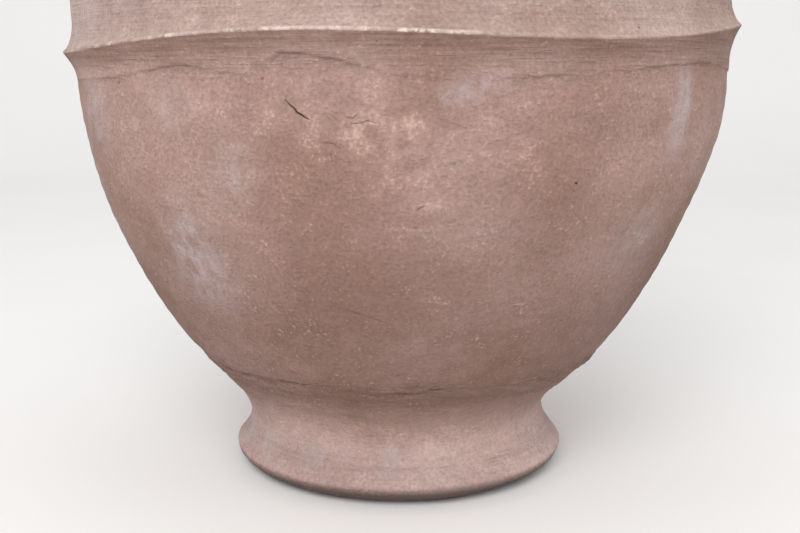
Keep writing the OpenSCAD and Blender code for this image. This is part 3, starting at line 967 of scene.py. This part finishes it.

# %% [markdown]
# ## Weathering and painted light
# Years outdoors have marked the clay, and the marks follow places on the jar rather than pieces. Each piece
# gets the same attributes from the same rules of azimuth and height: the lime bloom left by damp, the worn
# cream patches, the pale dust on what faces the sky, grime, wiping lines, crumbled clay and chalky edges.
# Some marks are painted light: shade painted under the crest, in the cove, over the joint, low on the bowl,
# under the toe and in the cracks, and a highlight painted along the crest's rim.
# The material reads them by name and breaks them up with fine noise, because a vertex every few millimetres
# can't hold fine marks.

# %% Mark the weathering and the painted light
# Each place is an azimuth, a height, a half-width, a half-height and a strength.
BLOOMS = (
    (-38, 258, 60, 76, 1.3), (-26, 338, 42, 46, 0.7), (47.5, 385, 24, 60, 1.5), (45, 276, 70, 52, 0.7),
    (8.5, 403, 30, 15, 1.1), (12, 410, 26, 10, 0.8), (-60, 380, 60, 60, 0.9), (-36, 392, 42, 44, 0.5),
    (-74, 300, 70, 110, 0.8), (-80, 375, 60, 60, 0.9), (75, 300, 60, 100, 0.55), (14, 300, 60, 40, 0.15),
    # on the foot
    (-53, 39, 22, 22, 1.0), (-30, 44, 26, 17, 0.7), (-2, 45, 13, 28, 0.9), (16, 42, 40, 14, 0.35),
    (-75, 40, 40, 26, 0.9),
    # round the back
    (130, 330, 90, 70, 0.7), (-130, 280, 100, 60, 0.8), (178, 390, 80, 40, 0.6), (100, 250, 60, 60, 0.5),
)
CREAMS = (
    (-3, 378, 75, 46, 1.0), (2, 345, 60, 50, 0.8), (-16, 385, 50, 40, 0.55), (20, 350, 60, 40, 0.35),
    (34, 300, 60, 50, 0.2), (-34, 390, 60, 30, 0.4), (140, 380, 80, 60, 0.8), (-110, 390, 90, 50, 0.7),
    (41, 45, 26, 12, 1.0), (24, 42, 40, 14, 0.4), (5, 312, 24, 8, 0.8), (5, 60, 200, 16, 0.25),
)
GRIMES = (
    (24, 290, 80, 70, 0.45), (34, 380, 60, 40, 0.2), (-36, 42, 60, 26, 0.35), (150, 220, 120, 60, 0.3),
    (-100, 240, 90, 50, 0.25),
)
JOINT_SHADE_Z = 118   # height of the painted shade, with grime, over the joint coil
TURNED_Z = 38         # the middle of the foot's turned stretch


def weather_and_light(piece, bloom=0.0, cream=0.0, chalk_and_highlight=None, cracks=None):
    """Writes the marks as vertex attributes. The numbers add to what the place already has."""
    skin = Skin(piece)
    wave = crest_wave(skin.azimuth)
    above = ramp(skin.height - wave * lift(skin.height), CREST_Z - 1.5, CREST_Z + 1.5)
    below_crest = CREST_Z + wave - skin.height
    on_cordon = skin.radius > wall_radius(skin.height) + 1
    # Painted shade: under_crest, in_cove, low_bowl, joint_shade and under_toe darken clay that lies in shade.
    under_crest = ramp(below_crest, 0, 2) * (1 - ramp(below_crest, 7, 19)) * on_cordon
    in_cove = (1 - above) * ramp(skin.height, 414, 430)
    low_bowl = (1 - ramp(skin.height, 150, 345)) * ramp(skin.height, 98, 122)
    joint_shade = np.exp(-((skin.height - JOINT_SHADE_Z) / 13) ** 2)
    at_foot = 1 - ramp(skin.height, waist_z - 5, waist_z + 43)
    turned = np.exp(-((skin.height - TURNED_Z) / 8) ** 2)
    under_toe = (1 - ramp(skin.height, 16, 24)) * at_foot
    at_left = ramp(-skin.azimuth, 20, 70) * (1 - ramp(-skin.azimuth, 100, 150))
    wiped_above = (0.12 + 0.43 * ramp(-below_crest, 4, 16)) * above
    marks = {
        "bloom": bloom + patches(skin, BLOOMS) * (1 - above) + 0.4 * at_left * above,
        "cream": cream + patches(skin, CREAMS) * (1 - above),
        "dust": np.maximum(above, at_foot),
        # Grime in patches, plus painted shade: crest's underside, cove, joint, lower bowl, under the toe.
        "grime_and_shade": (patches(skin, GRIMES) + 0.5 * joint_shade + 0.1 * in_cove + 1.15 * low_bowl
                  + 0.5 * under_crest + 1.5 * under_toe),
        "wiped": np.maximum(in_cove, wiped_above + (0.25 + 0.5 * turned) * at_foot),
        # Painted shade under the toe's widest point and in the depth of the cracks.
        "crack": 0.75 * (1 - ramp(skin.height, 12, 22)) + (0 if cracks is None else cracks(skin)),
        "torn": torn(skin, smear_edge(skin)) * (skin.height > 380) + joint_crumbs(skin),
        "chalk_and_highlight": np.zeros(len(above)) if chalk_and_highlight is None else chalk_and_highlight(skin),
    }
    for name, values in marks.items():
        attribute = piece.data.attributes.new(name, "FLOAT", "POINT")
        attribute.data.foreach_set("value", np.clip(values, 0, 1).astype(np.float32))


def crest_chalk_and_highlight(skin):
    """The crest's rim: chalky wear with a painted highlight, palest at the front and in patches to its left.
    """
    over = skin.height - CREST_Z - crest_wave(skin.azimuth)
    rim = ramp(over, -1.6, -0.4) * (1 - ramp(over, 1.2, 2.6)) * ramp(skin.radius, crest_r - 9, crest_r - 4)
    rubbed = 0.25 + 0.75 * about(skin, -6, 9, 20)
    rubbed = rubbed + 0.4 * ramp(-skin.azimuth, 14, 28) * (1 - ramp(-skin.azimuth, 60, 90))
    return rim * rubbed * (0.6 + 0.6 * lumps(skin, 22, 1, 91) + 0.9 * lumps(skin, 7, 1, 92))


def crack_depth_shade(skin):
    """Painted shade: 1 in the depth of a crack, where no light reaches."""
    dark = np.zeros(len(skin.height))
    for half_width, depth, path in CRACKS:
        away, share = distance_to(skin, path)
        wide = half_width * (0.3 + 0.35 * np.sin(np.pi * np.clip(share, 0, 1)))
        dark = np.maximum(dark, min(depth / 2.5, 1) * (1 - ramp(away, 0.5 * wide, 1.5 * wide)))
    return dark * (skin.outwards > 0)


left_handle, right_handle = handles["handle_left"], handles["handle_right"]
weather_and_light(lower_bowl, cracks=crack_depth_shade)
weather_and_light(cordon, chalk_and_highlight=crest_chalk_and_highlight)
weather_and_light(foot, bloom=0.25)
for piece in (joint, inner_coil):
    weather_and_light(piece)
for piece in (upper, neck, left_handle, right_handle):
    weather_and_light(piece, bloom=0.25, cream=0.2)
weather_and_light(neck_coil, bloom=0.25, cream=0.15)
weather_and_light(lip, bloom=0.3, cream=0.3)
low_pieces = (foot, joint, lower_bowl, inner_coil, cordon)
for piece in (*low_pieces, upper, neck, neck_coil, lip, left_handle, right_handle):
    lean(piece)
print("marks on the bowl:", [a.name for a in lower_bowl.data.attributes if a.domain == "POINT"])

# %% [markdown]
# ## The material: weathered terracotta
# Terracotta is a coarse iron-rich clay fired at about 1000 degrees and left unglazed. Its surface is matt and
# porous, so the highlight is very broad and weak, and light seems to soften on it. The eye reads it by its
# colour, which is never even: sanded paler where it was rubbed, browner where damp sits, with light and dark
# grains of grog, and a white-lilac bloom of lime salts.

# %% Colours and a helper that adds a node
def linear(code):
    """An sRGB hex colour as the linear colour that a shader takes."""
    values = [int(code[i:i + 2], 16) / 255 for i in (1, 3, 5)]
    return tuple(v / 12.92 if v <= 0.04045 else ((v + 0.055) / 1.055) ** 2.4 for v in values) + (1.0,)


def node(tree, kind, *values, **settings):
    """Adds a node. Values fill its inputs in order, and a setting is named after an input or a property.

    A value is a plain one, a socket, or a node, which then stands for its first output.
    """
    made = tree.nodes.new("ShaderNode" + kind)
    for name, value in settings.items():
        if name[0].islower():
            setattr(made, name, value)
    in_order = list(zip([socket for socket in made.inputs if socket.enabled], values))
    by_name = [(made.inputs[n.replace("_", " ")], v) for n, v in settings.items() if n[0].isupper()]
    for socket, value in in_order + by_name:
        if isinstance(value, bpy.types.Node):
            value = next(output for output in value.outputs if output.enabled)
        if isinstance(value, bpy.types.NodeSocket):
            tree.links.new(value, socket)
        else:
            socket.default_value = value
    return made


def per_metre(size_mm):
    """The scale that makes a texture's features a size in mm."""
    return 1 / (size_mm * MM)

# %% [markdown]
# ## One builder for every batch
# The same nodes make every batch of clay, with its own colours. The largest pattern is a mottling as wide as
# a hand, then comes a cloudiness of a thumb's width, and last the grain. The real grain is about half a
# millimetre, which is finer than a picture of the whole jar can hold, so it is drawn at three millimetres.
# The marks of weathering lie over it in the order in which they came: grime, bloom, worn cream, and chalk.
# Shade is painted in with the grime and in the pits and cracks, and a highlight with the chalk.

# %% The patterns in the clay
MARKS = ("bloom", "cream", "dust", "grime_and_shade", "wiped", "torn", "chalk_and_highlight", "crack")
EVEN = (1, 1, 1)
LEVEL = (0, 0, 0)
PATTERNS = {  # feature size in mm, detail, roughness, turn, stretch and warp
    "mottle": (110, 2, 0.5, LEVEL, EVEN, 0),                      # uneven firing
    "cloud": (20, 5, 0.62, LEVEL, EVEN, 0),                       # damp and handling
    "streak": (8, 4, 0.6, LEVEL, (1, 1, 0.14), 0),                # rain that ran down
    "leather": (8, 3, 0.6, (0.5, 0.6, 0.4), (0.5, 1, 1), 0.8),    # the skin of a slowly dried wall
    "wrinkle": (6, 4, 0.65, LEVEL, (0.4, 0.4, 1.4), 1.2),         # dragged slip
    "speckle": (4.0, 3, 0.65, LEVEL, EVEN, 0.6),                  # crumbs of pale grog
    "grain": (3.2, 3, 0.55, LEVEL, EVEN, 0),                      # sand, drawn six times too coarse
    "wipe": (2.8, 3, 0.6, LEVEL, (0.04, 0.04, 1), 0),             # the lines of a wiping finger
}
PIT_SPACING = 15      # between the places where a grain may have fallen out, in mm


# %% A builder for terracotta
def terracotta(name, damp_dark, damp_light, dusty_dark, dusty_light, relief=1.0):
    """Weathered terracotta in its own colours, with the relief of its grain as a share of the usual."""
    made = bpy.data.materials.new(name)
    made.use_nodes = True
    tree = made.node_tree
    tree.nodes.clear()
    at = node(tree, "TexCoord").outputs["Object"]
    mark = {key: node(tree, "Attribute", attribute_name=key).outputs["Fac"] for key in MARKS}
    pattern = {}
    for key, (size_mm, detail, roughness, turn, stretch, warp) in PATTERNS.items():
        where = node(tree, "Mapping", at, Rotation=turn, Scale=stretch)
        pattern[key] = node(tree, "TexNoise", where, Scale=per_metre(size_mm), Detail=detail,
                            Roughness=roughness, Distortion=warp)

    # The clay itself, damp or dusty, uneven in tone at every size.
    tone = node(tree, "MapRange", pattern["mottle"], 0.36, 0.64)
    damp = node(tree, "Mix", tone, linear(damp_dark), linear(damp_light), data_type="RGBA")
    dusty = node(tree, "Mix", tone, linear(dusty_dark), linear(dusty_light), data_type="RGBA")
    colour = node(tree, "Mix", mark["dust"], damp, dusty, data_type="RGBA")
    for key, reach in (("cloud", 0.07), ("leather", 0.07), ("grain", 0.145)):
        shade = node(tree, "MapRange", pattern[key], 0.32, 0.68, 1 - reach, 1 + reach)
        colour = node(tree, "VectorMath", colour, shade, operation="SCALE")

    # Grime and painted shade: darker in the wiped lines, with grime in patches
    # and shade painted under the crest, in the cove, over the joint, low on the bowl and under the toe.
    lines = node(tree, "MapRange", pattern["wipe"], 0.62, 0.38)
    lines = node(tree, "Math", lines, mark["wiped"], operation="MULTIPLY")
    dirt_and_shade = node(tree, "MapRange", pattern["cloud"], 0.3, 0.6, 0.5, 1.0)
    dirt_and_shade = node(tree, "Math", dirt_and_shade, mark["grime_and_shade"], operation="MULTIPLY")
    dirt_and_shade = node(tree, "Math", lines, 0.45, dirt_and_shade, operation="MULTIPLY_ADD")
    dirt_and_shade = node(tree, "Math", dirt_and_shade, 0.62, operation="MULTIPLY")
    dirt_and_shade = node(tree, "Math", dirt_and_shade, 0.9, operation="MINIMUM")

    # Bloom: a thin film of lime that runs down in soft streaks.
    film = node(tree, "Math", pattern["streak"], pattern["cloud"], operation="ADD")
    film = node(tree, "MapRange", film, 0.72, 1.25, 0.0, 0.8)
    film = node(tree, "Math", film, mark["bloom"], operation="MULTIPLY")

    # Worn cream: the raised grain is rubbed pale in a haze, with brighter crumbs where it is rubbed most.
    haze = node(tree, "MapRange", pattern["cloud"], 0.34, 0.66)
    haze = node(tree, "Math", haze, mark["cream"], operation="MULTIPLY")
    veil = node(tree, "Math", haze, 0.6, operation="MULTIPLY")
    rubbed = node(tree, "Math", pattern["cloud"], 0.4, operation="MULTIPLY")
    rubbed = node(tree, "Math", pattern["grain"], 0.6, rubbed, operation="MULTIPLY_ADD")
    rubbed = node(tree, "Math", haze, 0.10, rubbed, operation="MULTIPLY_ADD")
    rubbed = node(tree, "MapRange", rubbed, 0.59, 0.71, 0.0, 0.65)
    crumb = node(tree, "Math", haze, 0.06, pattern["speckle"], operation="MULTIPLY_ADD")
    crumb = node(tree, "Math", mark["torn"], 0.08, crumb, operation="MULTIPLY_ADD")
    crumb = node(tree, "MapRange", crumb, 0.74, 0.80, 0.0, 0.6)
    # The crest's rim: chalky wear with a painted highlight.
    edge = node(tree, "MapRange", pattern["speckle"], 0.36, 0.52, 0.1, 1.0)
    edge = node(tree, "Math", edge, mark["chalk_and_highlight"], operation="MULTIPLY")

    # Pits where a grain fell out, in one place of twelve, darkened inside with painted shade.
    pit = node(tree, "TexVoronoi", at, Scale=per_metre(PIT_SPACING))
    hole = node(tree, "MapRange", pit.outputs["Distance"], 0.10, 0.05)
    chosen = node(tree, "SeparateColor", pit.outputs["Color"])
    chosen = node(tree, "MapRange", chosen, 0.91, 0.93)
    hole = node(tree, "Math", hole, chosen, operation="MULTIPLY")
    pit_shade = node(tree, "Math", hole, 0.5, operation="MULTIPLY")

    # The layers over the clay, from the oldest to the newest.
    # Painted light here: shade with the grime, a highlight with the chalk, and shade in the pits, cracks and
    # under the toe.
    for share, code in (
        (dirt_and_shade, "#6c4e42"), (film, "#b5a7a7"), (veil, "#c3a398"), (rubbed, "#cbb0a4"), (crumb, "#dccac1"),
        (edge, "#dccbc3"), (pit_shade, "#5c4238"), (mark["crack"], "#3a2c25"),
    ):
        colour = node(tree, "Mix", share, colour, linear(code), data_type="RGBA")

    # The relief, in millimetres: leathery skin, grain, wiping lines, dragged crumbs and pits.
    height = node(tree, "Math", pattern["leather"], 2.6 * relief, operation="MULTIPLY")
    height = node(tree, "Math", pattern["grain"], 3.6 * relief, height, operation="MULTIPLY_ADD")
    lines = node(tree, "Math", pattern["wipe"], mark["wiped"], operation="MULTIPLY")
    height = node(tree, "Math", lines, 5.2, height, operation="MULTIPLY_ADD")
    dragged = node(tree, "Math", mark["torn"], 0.14, operation="ADD")
    dragged = node(tree, "Math", pattern["wrinkle"], dragged, operation="MULTIPLY")
    height = node(tree, "Math", dragged, 8.0, height, operation="MULTIPLY_ADD")
    height = node(tree, "Math", hole, -1.0, height, operation="MULTIPLY_ADD")
    bump = node(tree, "Bump", Strength=1.0, Distance=MM, Height=height)

    clay = node(tree, "BsdfPrincipled", Base_Color=colour, Normal=bump, Roughness=0.92, IOR=1.45,
                Specular_IOR_Level=0.25, Diffuse_Roughness=0.6, Sheen_Weight=0.06, Sheen_Roughness=0.6,
                Sheen_Tint=linear("#e6dcda"))
    node(tree, "OutputMaterial", Surface=clay)
    return made

# %% [markdown]
# ## Five batches of clay
# The great bowl is browner from the damp below it, and its thick wall dried leathery. The foot's clay is a
# little rosier. The coils of cordon, neck and lip were wiped with a wet hand, so their slip is smooth. The
# upper body lies in the sun, which leaves it pale and dusty, and the handles were pulled wet, so their skin
# is closed. Each batch is one call of the builder, with its damp and dusty colours, each dark and light, and
# the strength of its relief.

# %% Mix the batches
clays = {
    "foot_clay": terracotta("terracotta_rosy_worn", "#927469", "#a2867d", "#b0948d", "#c0a69f", 0.8),
    "bowl_clay": terracotta("terracotta_damp_leathery", "#96776b", "#a98c84", "#a38a81", "#b29b93", 1.0),
    "coil_clay": terracotta("terracotta_wiped_slip", "#9a7c70", "#ad9189", "#a38a81", "#b29b93", 0.7),
    "upper_clay": terracotta("terracotta_sunned_dusty", "#96776b", "#a98c84", "#a38a81", "#b29b93", 0.7),
    "handle_clay": terracotta("terracotta_pulled", "#917266", "#a4877f", "#a0867c", "#ae958c", 0.9),
}
print("clays:", sorted(m.name for m in clays.values()))

# %% [markdown]
# ## Join the dressed pieces to the frame
# Each dressed piece hides the plain CAD piece it stands for, rides on the same body and fills a colour slot.

# %% Ride, replace and fill the slots
DRESSED = (
    (foot, "pedestal_foot", "foot_clay"), (joint, "foot_joint_coil", "foot_clay"),
    (lower_bowl, "lower_bowl", "bowl_clay"), (inner_coil, "inner_seam_coil", "bowl_clay"),
    (cordon, "belly_cordon", "coil_clay"), (neck_coil, "neck_cordon", "coil_clay"), (lip, "lip", "coil_clay"),
    (upper, "upper_body", "upper_clay"), (neck, "neck", "upper_clay"),
    (left_handle, "handle_left", "handle_clay"), (right_handle, "handle_right", "handle_clay"),
)
for piece, node_name, slot_name in DRESSED:
    piece.data.materials.clear()
    piece.data.materials.append(clays[slot_name])
    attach(piece, "root")
    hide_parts(node_name)
print("dressed pieces:", len(DRESSED))

# %% [markdown]
# ## The floor and the light
# The jar stands on a plain pale sweep of studio paper: a floor whose far edge is drawn up into a wall. Light
# comes softly from all round, and one broad softbox stands above and behind the camera. It lights the upward
# faces and the foot, and leaves the underside of the bowl and of the cordon in soft shade.

# %% Lay the paper and light the jar
PAPER = 9             # width of the paper sweep, in metres
WALL_Y, WALL_H = 4.2, 5.5
BEND = 1.2            # radius of the sweep between floor and wall
deselect()
bpy.ops.mesh.primitive_plane_add(size=PAPER, location=(0, WALL_Y - PAPER / 2, 0))
paper = bpy.context.object
paper.name = paper.data.name = "studio_floor"
bpy.ops.object.transform_apply(location=True, rotation=False, scale=False)
bpy.ops.object.mode_set(mode="EDIT")
bpy.ops.mesh.select_mode(type="EDGE")
bpy.ops.mesh.select_all(action="DESELECT")
bpy.ops.object.mode_set(mode="OBJECT")


def select_far_edges(highest):
    """Selects the paper's edges that lie at its far end, no higher than a height."""
    for edge in paper.data.edges:
        ends = [paper.data.vertices[i].co for i in edge.vertices]
        edge.select = all(end.y > WALL_Y - 0.1 and end.z < highest for end in ends)
    bpy.ops.object.mode_set(mode="EDIT")


select_far_edges(WALL_H)
bpy.ops.mesh.extrude_edges_move(TRANSFORM_OT_translate={"value": (0, 0, WALL_H)})
bpy.ops.object.mode_set(mode="OBJECT")
select_far_edges(0.1)
bpy.ops.mesh.bevel(offset=BEND, segments=16, affect="EDGES")
bpy.ops.object.mode_set(mode="OBJECT")
bpy.ops.object.shade_smooth()

matt_paper = bpy.data.materials.new("matt_white_paper")
matt_paper.use_nodes = True
matt_paper.node_tree.nodes.clear()
paper_at = node(matt_paper.node_tree, "TexCoord").outputs["Object"]
faint = node(matt_paper.node_tree, "TexNoise", paper_at, Scale=per_metre(400), Detail=2)
faint = node(matt_paper.node_tree, "Mix", faint, linear("#f3f2f1"), linear("#f8f7f6"), data_type="RGBA")
paint = node(matt_paper.node_tree, "BsdfPrincipled", Base_Color=faint, Roughness=0.9)
node(matt_paper.node_tree, "OutputMaterial", Surface=paint)
paper.data.materials.append(matt_paper)

LAMP_AT = Vector((-0.5, -3.4, 2.5))
aim = (Vector((0, 0, 0.35)) - LAMP_AT).to_track_quat("-Z", "Y").to_euler()
bpy.ops.object.light_add(type="AREA", location=LAMP_AT, rotation=aim)
softbox = bpy.context.object
softbox.name = "front_softbox"
softbox.data.shape = "SQUARE"
softbox.data.size = 2.2
softbox.data.energy = 105

studio = bpy.data.worlds.new("white_studio")
studio.use_nodes = True
studio.node_tree.nodes.clear()
glow = node(studio.node_tree, "Background", Color=linear("#ffffff"), Strength=0.78)
node(studio.node_tree, "OutputWorld", Surface=glow)
bpy.context.scene.world = studio
bpy.context.scene.view_settings.view_transform = "Standard"
print("softbox:", softbox.data.energy, "W")
